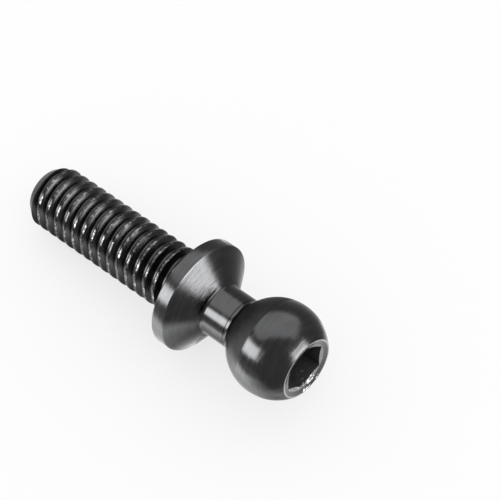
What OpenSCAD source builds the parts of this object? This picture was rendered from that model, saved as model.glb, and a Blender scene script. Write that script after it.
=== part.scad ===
// Threaded ball stud, turned from one steel bar. It lies as it comes to rest:
// on the back edge of its flange and on the thread near the tip, with the ball end raised.
// The axis runs along +X, and the origin is under the middle of the stud.

/* [Thread] */
// Diameter over the thread's crests
thread_d = 3.85; // [3.4:0.05:5]
// Distance from one crest to the next
thread_pitch = 0.7; // [0.5:0.05:0.8]
// Length of the threaded shank, from the seat to the tip
thread_l = 11.6; // [8:0.2:25]
// Width of the flat on each crest
crest_w = 0.16; // [0.08:0.02:0.2]
// Width of the flat at the bottom of the groove
root_w = 0.14; // [0.08:0.02:0.2]
// Angle between the two flanks of the groove
flank_angle = 60; // [55:1:70]
// Turn of the thread about the axis
thread_turn = 149; // [0:1:359]
// Diameter of the flat tip
tip_d = 2.9; // [2:0.1:3]
// Length of the cone that leads up from the tip to the full thread
tip_l = 0.65; // [0.4:0.05:1.2]
// Length over which the groove runs out at the seat
runout_l = 0.7; // [0.4:0.1:1]
// Height of the run-out over the crests, where it meets the seat
runout_step = 0.05; // [0.03:0.01:0.07]

/* [Flange] */
// Diameter of the flange
flange_d = 6.7; // [5.6:0.1:10]
// Height of the flange's straight rim
rim_h = 0.8; // [0.5:0.05:1.5]
// Height of the cone from the rim up to the neck
cone_h = 1.2; // [0.8:0.05:1.6]
// Radius of the rounded edges on the rim
edge_r = 0.05; // [0.04:0.01:0.15]

/* [Neck] */
// Diameter of the neck
neck_d = 3.1; // [2.6:0.05:3.6]
// Radius of the fillet between cone and neck
cone_fillet_r = 0.2; // [0.05:0.05:0.4]
// Radius of the fillet between neck and ball
ball_fillet_r = 0.4; // [0.1:0.05:0.5]

/* [Ball] */
// Diameter of the ball
ball_d = 5.6; // [5.2:0.05:6.4]
// Height of the ball's centre above the seat
ball_h = 6.2; // [5.8:0.05:8]
// Diameter of the ball's cut end
end_d = 3.66; // [3.4:0.02:4.2]
// Width of the flat land round the socket's mouth
land_w = 0.05; // [0.02:0.01:0.1]

/* [Hex socket] */
// Width across the flats of the hex
hex_af = 2.55; // [2:0.05:2.8]
// Depth of the hex below the ball's end
hex_depth = 2.8; // [1.8:0.1:3.2]
// Turn of the hex about the axis
hex_turn = 43; // [0:1:59]
// Full angle of the countersink at the mouth
sink_angle = 140; // [90:5:150]
// Diameter of the drilled hole under the hex
drill_d = 2.3; // [1.6:0.1:2.4]
// Depth of the drilled hole below the hex, to the full diameter
drill_extra = 0.3; // [0.1:0.05:0.6]
// Full angle of the drill's point
drill_angle = 118; // [90:1:140]

/* [Rest] */
// Turn of the whole stud about its axis as it lies
rest_roll = 3; // [0:1:6]

/* [Hidden] */
$fn = 72;
sliver_fn = 16;
steel = "#2e2f31";

// Radii
thread_r = thread_d / 2;
tip_r = tip_d / 2;
flange_r = flange_d / 2;
neck_r = neck_d / 2;
ball_r = ball_d / 2;
end_r = end_d / 2;

// Thread: the groove's depth follows from its flats and its flank angle, and a turn has four ridgelines
groove_depth = (thread_pitch - crest_w - root_w) / 2 / tan(flank_angle / 2);
root_r = thread_r - groove_depth;
flank_l = (thread_pitch - crest_w - root_w) / 2;
turn_sides = 32;
turn_knots = [
  [-crest_w / 2, thread_r],
  [crest_w / 2, thread_r],
  [crest_w / 2 + flank_l, root_r],
  [crest_w / 2 + flank_l + root_w, root_r],
];
knots = len(turn_knots);
spare_turns = 2;
lowest_turn = -ceil(thread_l / thread_pitch) - spare_turns;
turns = spare_turns - lowest_turn;
top_row = turns * knots - 1;
crest_offset = thread_pitch * thread_turn / 360;

// Head: heights above the seat
cone_top = rim_h + cone_h;
end_h = ball_h + sqrt(ball_r * ball_r - end_r * end_r);
mouth_r = end_r - land_w;
sink_depth = mouth_r / tan(sink_angle / 2);
drill_r = drill_d / 2;
drill_floor = end_h - hex_depth - drill_extra;
drill_point = drill_r / tan(drill_angle / 2);

// Fillet between cone and neck: its circle touches both
cone_lean = atan((flange_r - neck_r) / cone_h);
cone_touch = cone_fillet_r * tan(cone_lean / 2);
cone_fillet_at = [neck_r + cone_fillet_r, cone_top + cone_touch];
cone_touch_at = [neck_r + cone_touch * sin(cone_lean), cone_top - cone_touch * cos(cone_lean)];

// Rim: its rounded edges touch the seat, the straight rim and the cone
edge_x = flange_r - edge_r;
edge_touch = edge_r * tan(cone_lean / 2);
edge_front_at = [edge_x, rim_h - edge_touch];
edge_cone_at = [flange_r - edge_touch * sin(cone_lean), rim_h + edge_touch * cos(cone_lean)];

// Fillet between neck and ball: its circle touches the neck's side and the ball
ball_fillet_x = neck_r + ball_fillet_r;
ball_fillet_drop = sqrt(pow(ball_r + ball_fillet_r, 2) - ball_fillet_x * ball_fillet_x);
ball_fillet_at = [ball_fillet_x, ball_h - ball_fillet_drop];
ball_touch_share = ball_r / (ball_r + ball_fillet_r);
ball_touch_at = [ball_fillet_x * ball_touch_share, ball_h - ball_fillet_drop * ball_touch_share];

// Rest: the rounded back edge of the rim and the lowest crest near the tip touch the floor
function tip_limit(z) = min(thread_r, tip_r + (z + thread_l) * (thread_r - tip_r) / tip_l);
underside_crests = [
  for (k = [lowest_turn : 0])
    let (
      middle = thread_pitch * (k + (thread_turn - rest_roll) / 360),
      z = max(middle - crest_w / 2, min(middle + crest_w / 2, tip_l - thread_l))
    )
      if (z > -thread_l && z < -thread_l / 2) z
];
rest_tilts = [
  for (z = underside_crests)
    let (drop = edge_x - tip_limit(z), run = edge_r - z)
      atan(drop / run) + asin(edge_r / norm([drop, run]))
];
rest_tilt = min(rest_tilts);
lift = edge_x * cos(rest_tilt) - edge_r * sin(rest_tilt) + edge_r;
front_x = end_h * cos(rest_tilt) + end_r * sin(rest_tilt);
back_x = -thread_l * cos(rest_tilt) - tip_r * sin(rest_tilt);
middle_x = (front_x + back_x) / 2;

// A point of the thread's surface: column is the step round the axis, row the ridgeline
function thread_point(column, row) =
  let (
    knot = turn_knots[row % knots],
    turn = lowest_turn + floor(row / knots),
    angle = 360 * column / turn_sides,
    z = crest_offset + knot[0] + thread_pitch * (turn + column / turn_sides)
  )
  [knot[1] * cos(angle), knot[1] * sin(angle), z];

// The index of that point, where a full turn round the axis climbs one turn of ridgelines
function thread_index(column, row) =
  column < turn_sides
    ? column * (top_row + 1) + row
    : thread_index(column - turn_sides, row + knots);

// The sliver between a corner of the outline and the circle that touches both of its sides
module sliver(corner, touch_a, centre, touch_b, r) {
  difference() {
    polygon([corner, touch_a, centre, touch_b]);
    translate(centre) circle(r = r, $fn = sliver_fn);
  }
}

// Outlines of the head, as half sections beside the axis
module body_section() {
  difference() {
    polygon([
      [0, -runout_l],
      [root_r - runout_step, -runout_l],
      [thread_r + runout_step, 0],
      [flange_r, 0],
      [flange_r, rim_h],
      [neck_r, cone_top],
      [neck_r, ball_h],
      [0, ball_h],
    ]);
    sliver([flange_r, 0], [edge_x, 0], [edge_x, edge_r], [flange_r, edge_r], edge_r);
    sliver([flange_r, rim_h], edge_cone_at, edge_front_at, [flange_r, edge_front_at[1]], edge_r);
  }
}

module ball_section() {
  intersection() {
    translate([0, ball_h]) circle(r = ball_r);
    translate([0, ball_h - ball_r]) square([ball_r, end_h - ball_h + ball_r]);
  }
}

module head() {
  rotate_extrude() {
    body_section();
    ball_section();
    sliver([neck_r, cone_top], cone_touch_at, cone_fillet_at, [neck_r, cone_fillet_at[1]], cone_fillet_r);
    sliver([neck_r, ball_h], [neck_r, ball_fillet_at[1]], ball_fillet_at, ball_touch_at, ball_fillet_r);
  }
}

module socket() {
  translate([0, 0, end_h - hex_depth])
    rotate(hex_turn)
      cylinder(h = hex_depth + ball_r, d = hex_af / cos(30), $fn = 6);
  translate([0, 0, drill_floor]) cylinder(h = hex_depth, r = drill_r);
  translate([0, 0, drill_floor - drill_point]) cylinder(h = drill_point, r1 = 0, r2 = drill_r);
  translate([0, 0, end_h - sink_depth]) cylinder(h = 2 * sink_depth, r1 = 0, r2 = 2 * mouth_r);
}

module endless_thread() {
  sides = [
    for (column = [0 : turn_sides - 1])
      let (last = column < turn_sides - 1 ? top_row : top_row - knots)
        for (row = [0 : last - 1])
          let (
            a = thread_index(column, row),
            b = thread_index(column + 1, row),
            c = thread_index(column + 1, row + 1),
            d = thread_index(column, row + 1)
          )
          each [[a, c, b], [a, d, c]]
  ];
  points = [
    for (column = [0 : turn_sides - 1], row = [0 : top_row]) thread_point(column, row)
  ];
  low = len(points);
  high = low + 1;
  low_edge = concat(
    [for (column = [0 : turn_sides - 1]) thread_index(column, 0)],
    [for (row = [knots : -1 : 1]) thread_index(0, row)]
  );
  high_edge = concat(
    [for (column = [0 : turn_sides - 1]) thread_index(column, top_row)],
    [for (row = [1 : knots]) thread_index(turn_sides - 1, top_row - row)]
  );
  axis_ends = [[0, 0, points[0][2]], [0, 0, points[top_row][2]]];
  low_cap = [
    for (k = [0 : len(low_edge) - 1]) [low_edge[k], low_edge[(k + 1) % len(low_edge)], low]
  ];
  high_cap = [
    for (k = [0 : len(high_edge) - 1]) [high_edge[(k + 1) % len(high_edge)], high_edge[k], high]
  ];
  polyhedron(concat(points, axis_ends), concat(sides, low_cap, high_cap));
}

module shank() {
  clear_r = thread_r + groove_depth;
  slope = tip_l / (thread_r - tip_r);
  intersection() {
    endless_thread();
    rotate_extrude()
      polygon([
        [0, -thread_l],
        [tip_r, -thread_l],
        [clear_r, -thread_l + (clear_r - tip_r) * slope],
        [clear_r, rim_h / 2],
        [0, rim_h / 2],
      ]);
  }
}

module ball_stud() {
  color(steel)
    translate([-middle_x, 0, lift])
      rotate([0, 90 - rest_tilt, 0])
        rotate(rest_roll)
          difference() {
            union() {
              head();
              shank();
            }
            socket();
          }
}

ball_stud();
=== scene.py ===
import math

import bmesh
import bpy
from mathutils import Matrix, Vector


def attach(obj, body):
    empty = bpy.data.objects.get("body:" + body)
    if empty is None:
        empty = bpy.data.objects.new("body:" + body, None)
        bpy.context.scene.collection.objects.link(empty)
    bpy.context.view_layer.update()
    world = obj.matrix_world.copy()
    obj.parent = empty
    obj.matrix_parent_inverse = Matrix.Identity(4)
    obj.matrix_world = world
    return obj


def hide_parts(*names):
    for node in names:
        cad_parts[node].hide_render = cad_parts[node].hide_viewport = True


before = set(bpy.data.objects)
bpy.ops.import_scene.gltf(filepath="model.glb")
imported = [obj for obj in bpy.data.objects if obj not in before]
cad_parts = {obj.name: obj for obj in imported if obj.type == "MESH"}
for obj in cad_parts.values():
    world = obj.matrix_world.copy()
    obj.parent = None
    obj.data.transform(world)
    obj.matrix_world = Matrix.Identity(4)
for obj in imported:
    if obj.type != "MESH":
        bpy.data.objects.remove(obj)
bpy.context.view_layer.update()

# Head of the stud: ball, neck and coned flange, turned in one pass from a bar of free-cutting steel.
# The half section is drawn in millimetres from the flange's seat, beside the axis, and spun round it.
# The tool's nose leaves a fillet at each end of the neck, and the outer edges are lightly broken.
flange_r, rim_h, cone_top, edge_r = 3.35, 0.8, 2.0, 0.05
neck_r, cone_fillet_r, ball_fillet_r = 1.55, 0.2, 0.4
ball_r, ball_h, end_r = 2.8, 6.2, 1.83
land_w, land_edge, mouth_edge, sink_angle = 0.05, 0.03, 0.02, 140
thread_r, root_r, runout_l, runout_step = 1.925, 1.57859, 0.7, 0.05
end_h = ball_h + math.sqrt(ball_r**2 - end_r**2)
mouth_r = end_r - land_w
sink_depth = mouth_r / math.tan(math.radians(sink_angle / 2))


def draw_on(section, last, *places):
    for radius, height in places:
        corner = section.verts.new((radius, 0, height))
        section.edges.new((last, corner))
        last = corner
    return last


def sweep_on(section, last, centre, degrees, steps):
    swept = bmesh.ops.spin(
        section, geom=[last], cent=(centre[0], 0, centre[1]), axis=(0, 1, 0), dvec=(0, 0, 0),
        angle=math.radians(degrees), steps=steps,
        use_merge=False, use_normal_flip=False, use_duplicate=False,
    )
    return swept["geom_last"][0]


def break_corner(section, place, width, steps):
    target = Vector((place[0], 0, place[1]))
    corner = min(section.verts, key=lambda vert: (vert.co - target).length)
    bmesh.ops.bevel(
        section, geom=[corner], offset=width, offset_type="OFFSET", affect="VERTICES",
        segments=steps, profile=0.5, material=-1,
    )


def turn_round(section, sides):
    bmesh.ops.spin(
        section, geom=section.verts[:] + section.edges[:], cent=(0, 0, 0), axis=(0, 0, 1),
        dvec=(0, 0, 0), angle=math.tau, steps=sides,
        use_merge=True, use_normal_flip=False, use_duplicate=False,
    )
    bmesh.ops.remove_doubles(section, verts=section.verts, dist=1e-5)
    bmesh.ops.recalc_face_normals(section, faces=section.faces)


def as_blank(section, name):
    mesh = bpy.data.meshes.new(name)
    section.to_mesh(mesh)
    section.free()
    blank = bpy.data.objects.new(name, mesh)
    bpy.context.scene.collection.objects.link(blank)
    return blank


ball_fillet_x = neck_r + ball_fillet_r
ball_drop = math.sqrt((ball_r + ball_fillet_r) ** 2 - ball_fillet_x**2)
ball_lean = math.degrees(math.atan2(ball_drop, ball_fillet_x))
cut_angle = math.degrees(math.asin(end_r / ball_r))
cone_lean = math.degrees(math.atan2(flange_r - neck_r, cone_top - rim_h))
half_lean = math.tan(math.radians(cone_lean / 2))
cone_fillet_h = cone_top + cone_fillet_r * half_lean

section = bmesh.new()
point = section.verts.new((0, 0, end_h - sink_depth))
point = draw_on(section, point, (mouth_r, end_h), (end_r, end_h))
point = sweep_on(section, point, (0, ball_h), degrees=90 + ball_lean - cut_angle, steps=72)
point = sweep_on(section, point, (ball_fillet_x, ball_h - ball_drop), degrees=-ball_lean, steps=12)
point = draw_on(section, point, (neck_r, cone_fillet_h))
point = sweep_on(
    section, point, (neck_r + cone_fillet_r, cone_fillet_h), degrees=-cone_lean, steps=10,
)
draw_on(
    section, point, (flange_r, rim_h), (flange_r, 0), (thread_r + runout_step, 0),
    (root_r - runout_step, -runout_l), (0, -runout_l),
)
break_corner(section, (mouth_r, end_h), width=mouth_edge, steps=3)
break_corner(section, (end_r, end_h), width=land_edge, steps=4)
break_corner(section, (flange_r, rim_h), width=edge_r * half_lean, steps=5)
break_corner(section, (flange_r, 0), width=edge_r, steps=5)
turn_round(section, sides=240)
head = as_blank(section, "head")

# Thread of the shank: right-hand, 0.7 mm to a turn, rolled up to the seat, where the groove runs out.
# One turn's ridge, with its crest flat, slightly rounded edges and flanks, is swept along the helix.
# A turned cone at the tip leads the first crests up to full height.
pitch, crest_w, root_w, thread_l = 0.7, 0.16, 0.14, 11.6
crest_edge, root_edge, tip_edge = 0.045, 0.04, 0.05
tip_r, tip_l, thread_turn = 1.45, 0.65, 149
turn_sides, turns, lowest_turn = 96, 21, -19
sweep_low, sweep_high = -thread_l - 0.3, 0.6
clear_r = thread_r + 0.3
root_start = pitch / 2 - root_w / 2


def cut_blank(blank, tool, operation):
    cut = blank.modifiers.new("cut", "BOOLEAN")
    cut.operation, cut.solver, cut.object = operation, "MANIFOLD", tool
    shaped = bpy.data.meshes.new_from_object(
        blank.evaluated_get(bpy.context.evaluated_depsgraph_get())
    )
    blank.modifiers.clear()
    blank.data = shaped
    bpy.data.objects.remove(tool)


section = bmesh.new()
point = section.verts.new((root_r, 0, -pitch / 2))
draw_on(
    section, point, (root_r, -root_start), (thread_r, -crest_w / 2), (thread_r, crest_w / 2),
    (root_r, root_start), (root_r, pitch / 2),
)
for side in (-1, 1):
    break_corner(section, (thread_r, side * crest_w / 2), width=crest_edge, steps=4)
    break_corner(section, (root_r, side * root_start), width=root_edge, steps=3)
bmesh.ops.translate(
    section, verts=section.verts, vec=(0, 0, pitch * (lowest_turn + thread_turn / 360)),
)
bmesh.ops.spin(
    section, geom=section.verts[:] + section.edges[:], cent=(0, 0, 0), axis=(0, 0, 1),
    dvec=(0, 0, pitch / turn_sides), angle=math.tau * turns, steps=turn_sides * turns,
    use_merge=False, use_normal_flip=False, use_duplicate=False,
)
bmesh.ops.remove_doubles(section, verts=section.verts, dist=1e-4)
for height, outward in ((sweep_low, -1), (sweep_high, 1)):
    sliced = bmesh.ops.bisect_plane(
        section, geom=section.verts[:] + section.edges[:] + section.faces[:], dist=1e-6,
        plane_co=(0, 0, height), plane_no=(0, 0, outward), clear_outer=True,
    )
    rim = [piece for piece in sliced["geom_cut"] if isinstance(piece, bmesh.types.BMEdge)]
    bmesh.ops.contextual_create(section, geom=rim)
bmesh.ops.recalc_face_normals(section, faces=section.faces)
thread = as_blank(section, "thread")

section = bmesh.new()
point = section.verts.new((0, 0, -thread_l))
draw_on(
    section, point, (tip_r, -thread_l),
    (clear_r, -thread_l + (clear_r - tip_r) * tip_l / (thread_r - tip_r)),
    (clear_r, rim_h / 2), (0, rim_h / 2),
)
break_corner(section, (tip_r, -thread_l), width=tip_edge, steps=4)
turn_round(section, sides=192)
cut_blank(thread, as_blank(section, "tip"), "INTERSECT")

# Hex socket for a 2.5 mm key: drilled first, then broached down from the countersunk end of the ball.
# The broach leaves a flat shoulder over the drill's pointed hole.
hex_af, hex_depth, hex_turn, first_corner = 2.55, 2.8, 43, 30
drill_r, drill_extra, drill_angle = 1.15, 0.3, 118
tool_over = 1
hex_corner_r = hex_af / math.sqrt(3)
drill_floor = end_h - (hex_depth + drill_extra)
drill_point = drill_r / math.tan(math.radians(drill_angle / 2))

section = bmesh.new()
point = section.verts.new((0, 0, drill_floor - drill_point))
draw_on(
    section, point, (drill_r, drill_floor), (drill_r, end_h + tool_over), (0, end_h + tool_over),
)
turn_round(section, sides=96)
cut_blank(head, as_blank(section, "drill"), "DIFFERENCE")

section = bmesh.new()
bmesh.ops.create_cone(
    section, cap_ends=True, cap_tris=False, segments=6, radius1=hex_corner_r,
    radius2=hex_corner_r, depth=hex_depth + tool_over,
    matrix=Matrix.Translation((0, 0, end_h + (tool_over - hex_depth) / 2))
    @ Matrix.Rotation(math.radians(hex_turn + first_corner), 4, "Z"),
)
cut_blank(head, as_blank(section, "broach"), "DIFFERENCE")

# The finished stud: head and shank are one piece of steel, laid as it comes to rest on a floor,
# on the back edge of its flange and on the thread near the tip, with the ball end raised.
rest_tilt, rest_roll, middle_x, lift = 7.383441, 3, -1.602371, 3.316212
mm, weld, sharp_angle = 0.001, 1e-4, 32
lean_over = math.radians(90 - rest_tilt)
lying = Matrix.Translation((-middle_x, 0, lift)) @ Matrix.Rotation(lean_over, 4, "Y")

cut_blank(head, thread, "UNION")
stud = head
stud.name = stud.data.name = "stud"
shape = bmesh.new()
shape.from_mesh(stud.data)
bmesh.ops.remove_doubles(shape, verts=shape.verts, dist=weld)
bmesh.ops.dissolve_degenerate(shape, edges=shape.edges, dist=weld)
bmesh.ops.recalc_face_normals(shape, faces=shape.faces)
for face in shape.faces:
    face.smooth = True
for edge in shape.edges:
    edge.smooth = edge.is_manifold and edge.calc_face_angle() < math.radians(sharp_angle)
bmesh.ops.transform(
    shape, verts=shape.verts,
    matrix=Matrix.Scale(mm, 4) @ lying @ Matrix.Rotation(math.radians(rest_roll), 4, "Z"),
)
shape.to_mesh(stud.data)
shape.free()

# Black oxide: the stud is blackened hot and wiped with oil, so it is nearly black and satin bright.
# The turned faces keep the tool's fine rings, and the thread is glossier where the dies burnished it.
# The upper back of the ball is dull, its colour painted darker there as shade, and the broach has
# torn bright metal from the socket's mouth.


class Field:
    def __init__(self, tree, socket=None):
        self.tree, self.socket = tree, socket

    def node(self, kind, inputs, output=0, **settings):
        made = self.tree.nodes.new(kind)
        for name, value in settings.items():
            setattr(made, name, value)
        for name, value in inputs.items():
            if isinstance(value, Field):
                self.tree.links.new(value.socket, made.inputs[name])
            else:
                made.inputs[name].default_value = value
        return Field(self.tree, made.outputs[output])

    def math(self, operation, *values):
        return self.node("ShaderNodeMath", dict(enumerate(values)), operation=operation)

    def rise(self, low, high):
        return self.node(
            "ShaderNodeMapRange", {"Value": self, "From Min": low, "From Max": high},
        )

    def feed(self, shader, name):
        self.tree.links.new(self.socket, shader.inputs[name])

    def __add__(self, other):
        return self.math("ADD", self, other)

    def __sub__(self, other):
        return self.math("SUBTRACT", self, other)

    def __mul__(self, other):
        return self.math("MULTIPLY", self, other)

    def __truediv__(self, other):
        return self.math("DIVIDE", self, other)

    def __rsub__(self, other):
        return self.math("SUBTRACT", other, self)

    __radd__ = __add__
    __rmul__ = __mul__


black_oxide = bpy.data.materials.new("black_oxide")
black_oxide.use_nodes = True
steel = black_oxide.node_tree.nodes["Principled BSDF"]
paint = Field(black_oxide.node_tree)

# Places on the stud, in millimetres: height above the seat and radius from the axis
place = paint.node("ShaderNodeTexCoord", {}, output="Object")
place = paint.node(
    "ShaderNodeMapping",
    {"Vector": place, "Location": lying.translation * mm,
     "Rotation": (0, lean_over, 0), "Scale": (mm, mm, mm)},
    vector_type="TEXTURE",
)
across, aside, height = (
    paint.node("ShaderNodeSeparateXYZ", {"Vector": place}, output=way) for way in "XYZ"
)
radius = paint.math("SQRT", across * across + aside * aside)
never_zero = 0.001
off_axis = radius + never_zero

# Tool rings, which change slowly round the axis, then blotches in the film, and fine nicks
ring_count, ring_change = 6, 1.8
ring_place = paint.node(
    "ShaderNodeCombineXYZ",
    {"X": height * ring_count, "Y": radius * ring_count, "Z": across / off_axis * ring_change},
)
rings = paint.node(
    "ShaderNodeTexNoise",
    {"Vector": ring_place, "W": aside / off_axis * ring_change,
     "Scale": 1.0, "Detail": 4.0, "Roughness": 0.62},
    noise_dimensions="4D",
)
blotches = paint.node(
    "ShaderNodeTexNoise", {"Vector": place, "Scale": 1.1, "Detail": 3.0, "Roughness": 0.55},
)
nicks = paint.node(
    "ShaderNodeTexNoise", {"Vector": place, "Scale": 5.0, "Detail": 4.0, "Roughness": 0.6},
)
grain = rings.rise(0.35, 0.65)

# Crests of the thread: worn in spots, and with a broken seam where the rolled metal met, whose groove
# is painted in as a dark line of shade
thread_start, crest_top, wear = (-0.02, -0.12), (thread_r - 0.05, thread_r - 0.03), (0.5, 0.62)
seam_side, seam_breaks = (0.04, 0.02), (0.4, 0.5)
on_thread = height.rise(*thread_start)
crests = radius.rise(*crest_top) * on_thread
worn = crests * nicks.rise(*wear)
helix = (
    height / pitch - paint.math("ARCTAN2", aside, across) / math.tau
    - (thread_turn - rest_roll) / 360
)
from_middle = paint.math("PINGPONG", helix, 0.5)
crest_seam_shade = from_middle.rise(*seam_side) * crests * nicks.rise(*seam_breaks)

# Painted highlight along the edge between rim and cone, painted shade on the line where the neck
# ends, and the upper back of the ball, dull and painted darker as shade
edge_side, edge_low, edge_high = (
    (flange_r - 0.07, flange_r - 0.05), (rim_h - 0.05, rim_h - 0.03), (rim_h + 0.06, rim_h + 0.04)
)
edges = radius.rise(*edge_side) * height.rise(*edge_low) * height.rise(*edge_high)
# Painted shade: a dark line in the colour just below where the neck runs into the ball's fillet
line_side, line_low, line_high = (1.8, 1.7), (3.53, 3.55), (3.62, 3.6)
neck_end_shade = radius.rise(*line_side) * height.rise(*line_low) * height.rise(*line_high)
# Painted shade: the upper back of the ball is darkened in colour; its dullness is the as-turned
# finish
back_side, back_low, back_high, back_top = (1.6, 1.62), (3.96, 3.99), (5.7, 5.68), (-0.6, -1.5)
dull_shaded_ball_back = (
    radius.rise(*back_side) * height.rise(*back_low) * height.rise(*back_high)
    * across.rise(*back_top)
)

# Socket: its walls, specks of bright metal on them, the torn lower side of its mouth, and the land
wall_side, wall_low = (1.5, 1.49), (4.8, 4.9)
in_socket = radius.rise(*wall_side) * height.rise(*wall_low)
speck_low, speck_share = (end_h - 1.6, end_h - 1.4), (0.66, 0.69)
specks = in_socket * height.rise(*speck_low) * nicks.rise(*speck_share)
torn_bearing, torn_width, torn_low = math.radians(5), (0.9, 0.96), (end_h - 0.3, end_h - 0.2)
torn_inner, torn_outer, torn_share = (1.3, 1.45), (1.8, 1.75), (0.49, 0.55)
torn_side = (across * math.cos(torn_bearing) + aside * math.sin(torn_bearing)) / off_axis
torn = (
    torn_side.rise(*torn_width) * height.rise(*torn_low) * radius.rise(*torn_inner)
    * radius.rise(*torn_outer) * nicks.rise(*torn_share)
)
land_inner, land_outer, land_low = (
    (mouth_r - 0.04, mouth_r), (end_r + 0.03, end_r), (end_h - 0.04, end_h - 0.01)
)
land = radius.rise(*land_inner) * radius.rise(*land_outer) * height.rise(*land_low)

# Colour: the black film, with light and shade painted into it, and the bare steel where it is gone
torn_bare, land_bare, land_nicked, worn_bare = 0.6, 0.05, 0.25, 0.13
bare = paint.math(
    "MAXIMUM",
    paint.math("MAXIMUM", torn * torn_bare, specks),
    land * (land_bare + land_nicked * nicks) + worn_bare * worn,
)
# The socket's walls are lighter: partly steel the broach left less black, partly painted light that
# lifts their shade
film, film_blotch, socket_steel_and_painted_light, back_painted_shade, film_thread = 0.019, 0.011, 0.058, 0.012, 0.006
# Painted into the film on the next line: a highlight along the rim's edge, and shade at the neck's
# end and down each crest's seam
film_crest, edge_highlight_paint, neck_line_painted_shade, seam_painted_shade = 0.008, 0.008, 0.7, 0.8
film_green, film_blue, bare_steel = 1.01, 1.03, (0.5, 0.5, 0.49, 1)
dark = (
    film + film_blotch * blotches + socket_steel_and_painted_light * in_socket - back_painted_shade * dull_shaded_ball_back
    - film_thread * on_thread + film_crest * crests * nicks + edge_highlight_paint * edges
) * (0.9 + 0.2 * grain) * (1 - neck_line_painted_shade * neck_end_shade) * (1 - seam_painted_shade * crest_seam_shade)
film_colour = paint.node(
    "ShaderNodeCombineColor", {"Red": dark, "Green": dark * film_green, "Blue": dark * film_blue},
)
shade = paint.node(
    "ShaderNodeMix", {0: bare, 6: film_colour, 7: bare_steel}, output=2, data_type="RGBA",
)
shade.feed(steel, "Base Color")
steel.inputs["Metallic"].default_value = 1.0
steel.inputs["Specular Tint"].default_value = (0.7, 0.7, 0.7, 1)

# Gloss: satin, with glossier crests, and duller on the back of the ball and in the socket
satin, satin_grain, satin_blotch, satin_thread = 0.19, 0.06, 0.08, 0.08
crest_gloss, back_dull, socket_dull = 0.2, 0.35, 0.3
rough = (
    satin + satin_grain * (grain - 0.5) + satin_blotch * (blotches - 0.5)
    + satin_thread * on_thread - crest_gloss * crests + back_dull * dull_shaded_ball_back
    + socket_dull * in_socket
)
rough.feed(steel, "Roughness")

# Relief: the tool's rings on flange and ball, fainter on the ball, and the torn and nicked places
ring_depth, ring_side, ball_fade, ball_start = 2.2e-5, (1.6, 1.8), 0.4, (3.6, 3.9)
tear_depth, crest_nick = 1.2e-4, 0.05
ring_relief = (
    rings * radius.rise(*ring_side) * (1 - on_thread) * (1 - ball_fade * height.rise(*ball_start))
)
tooling = paint.node(
    "ShaderNodeBump", {"Height": ring_relief, "Strength": 1.0, "Distance": ring_depth},
)
tearing = paint.node(
    "ShaderNodeBump",
    {"Height": nicks * (torn + crest_nick * crests), "Normal": tooling,
     "Strength": 1.0, "Distance": tear_depth},
)
tearing.feed(steel, "Normal")
stud.data.materials.clear()
stud.data.materials.append(black_oxide)

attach(stud, "root")
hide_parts("ball_stud")

# Floor: one sheet of matt white board, far larger than the view, on which the stud lies loose.
# It looks nearly white to the camera and in the steel, and it keeps the stud's soft shadow.
board_half, board_white, board_glow = 1.5, 0.975, 0.7
board = bmesh.new()
bmesh.ops.create_grid(board, x_segments=1, y_segments=1, size=board_half)
floor = as_blank(board, "floor")
matt_white = bpy.data.materials.new("matt_white")
matt_white.use_nodes = True
white = matt_white.node_tree.nodes["Principled BSDF"]
white.inputs["Base Color"].default_value = (board_white, board_white, board_white, 1)
white.inputs["Roughness"].default_value = 1.0
white.inputs["Specular IOR Level"].default_value = 0.0
sheet = Field(matt_white.node_tree)
seen = (
    sheet.node("ShaderNodeLightPath", {}, output="Is Camera Ray")
    + sheet.node("ShaderNodeLightPath", {}, output="Is Glossy Ray")
    + sheet.node("ShaderNodeLightPath", {}, output="Is Transmission Ray")
)
lit_board = Field(sheet.tree, white.outputs[0])
glowing_board = sheet.node("ShaderNodeEmission", {"Strength": 1.0})
board_finish = sheet.node(
    "ShaderNodeMixShader", {0: board_glow * seen, 1: lit_board, 2: glowing_board},
)
board_finish.feed(sheet.tree.nodes["Material Output"], "Surface")
floor.data.materials.append(matt_white)

# Light: a white tent all round gives the even light on floor and stud. What the steel mirrors besides
# is a broad diffuser over the back, two softboxes left and right, and white cards low round the stud.
# Panels of one name lie inside each other, so that the mirrored light fades towards its edge.
tent = bpy.data.worlds.new("tent")
tent.use_nodes = True
tent.node_tree.nodes["Background"].inputs["Color"].default_value = (1, 1, 1, 1)
bpy.context.scene.world = tent
open_spread, card_spread = 180, 172
panel_distance, distance_per_degree = 0.5, 0.002
card_h, card_gap = 0.06, 0.02


def place_panel(name, radiance, width, height, matrix, spread):
    light = bpy.data.lights.new(name, "AREA")
    light.spread = math.radians(spread)
    light.shape, light.size, light.size_y = "RECTANGLE", width, height
    light.energy = radiance * math.pi * width * height
    panel = bpy.data.objects.new(name, light)
    panel.matrix_world = matrix
    panel.visible_camera = panel.visible_diffuse = False
    bpy.context.scene.collection.objects.link(panel)


def hang_panel(name, bearing, rise, spin, wide, high, radiance):
    round_by, up_by = math.radians(bearing), math.radians(rise)
    flat = math.cos(up_by)
    away = Vector((math.cos(round_by) * flat, math.sin(round_by) * flat, math.sin(up_by)))
    distance = panel_distance + distance_per_degree * wide
    width, height = (2 * distance * math.tan(math.radians(angle / 2)) for angle in (wide, high))
    facing = away.to_track_quat("Z", "Y").to_matrix().to_4x4()
    hung = (
        Matrix.Translation(away * distance) @ facing @ Matrix.Rotation(math.radians(spin), 4, "Z")
    )
    place_panel(name, radiance, width, height, hung, open_spread)


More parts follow.
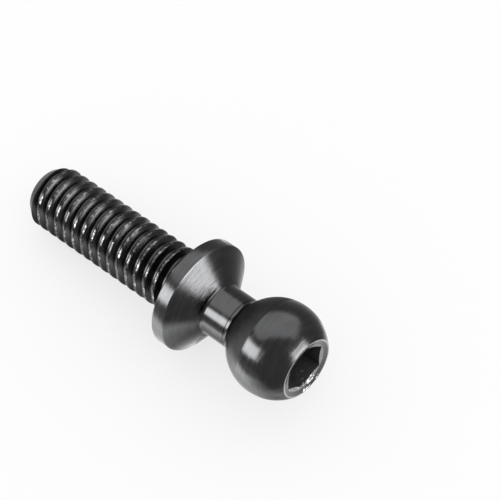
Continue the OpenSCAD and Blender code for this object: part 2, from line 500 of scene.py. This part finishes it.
def lay_card(name, radiance, left, right, near, far, layer=0):
    middle = Vector(((left + right) / 2, (near + far) / 2, card_h + card_gap * layer)) * mm
    laid = Matrix.Translation(middle) @ Matrix.Rotation(math.pi, 4, "X")
    place_panel(name, radiance, (right - left) * mm, (far - near) * mm, laid, card_spread)


hang_panel("diffuser", bearing=136, rise=62.5, spin=-2, wide=90, high=65, radiance=3.8)
for share in (1.0, 0.87, 0.74):
    hang_panel(
        "softbox_left", bearing=-124, rise=23, spin=24, wide=52 * share, high=30 * share, radiance=8,
    )
    hang_panel(
        "softbox_right", bearing=15, rise=24, spin=-10, wide=46 * share, high=31 * share, radiance=8,
    )
lay_card("front_card", radiance=1.2, left=-60, right=10.5, near=-60, far=-13)
for layer in range(8):
    lay_card(
        "front_card", radiance=0.7 + 0.15 * layer, left=-15 + 0.5 * layer, right=12 - 0.9 * layer,
        near=-14 + 0.5 * layer, far=-2.6 - 0.65 * layer, layer=layer,
    )
lay_card("under_card", radiance=0.8, left=0, right=8, near=-2.6, far=-1.2)
for layer in range(3):
    lay_card(
        "right_card", radiance=1.2, left=10.5 + layer, right=21 - layer,
        near=-6 + 2 * layer, far=10 - 2 * layer, layer=layer,
    )
lay_card("back_card", radiance=1.2, left=7.5, right=10.4, near=4.2, far=9)
lay_card("back_card", radiance=1.8, left=-12, right=-1.5, near=4.8, far=9.5)
lay_card("left_card", radiance=1.0, left=-45, right=-16, near=-8, far=12)

# Camera: stands at the front right of the stud, a hand's width up, and looks steeply down at it.
# Its long lens shows the far end of the thread nearly as large as the ball's end.
focal_length, sensor_width, nearest, farthest = 140.66, 36, 0.01, 10
stand, aim = Vector((40.7271, -39.3559, 96.3673)) * mm, Vector((0.7876, 5.6434, 0)) * mm
lens = bpy.data.cameras.new("camera")
lens.lens, lens.sensor_width = focal_length, sensor_width
lens.clip_start, lens.clip_end = nearest, farthest
camera = bpy.data.objects.new("camera", lens)
camera.location = stand
camera.rotation_euler = (aim - stand).to_track_quat("-Z", "Y").to_euler()
bpy.context.scene.collection.objects.link(camera)
bpy.context.scene.camera = camera
bpy.context.scene.view_settings.view_transform = "Standard"
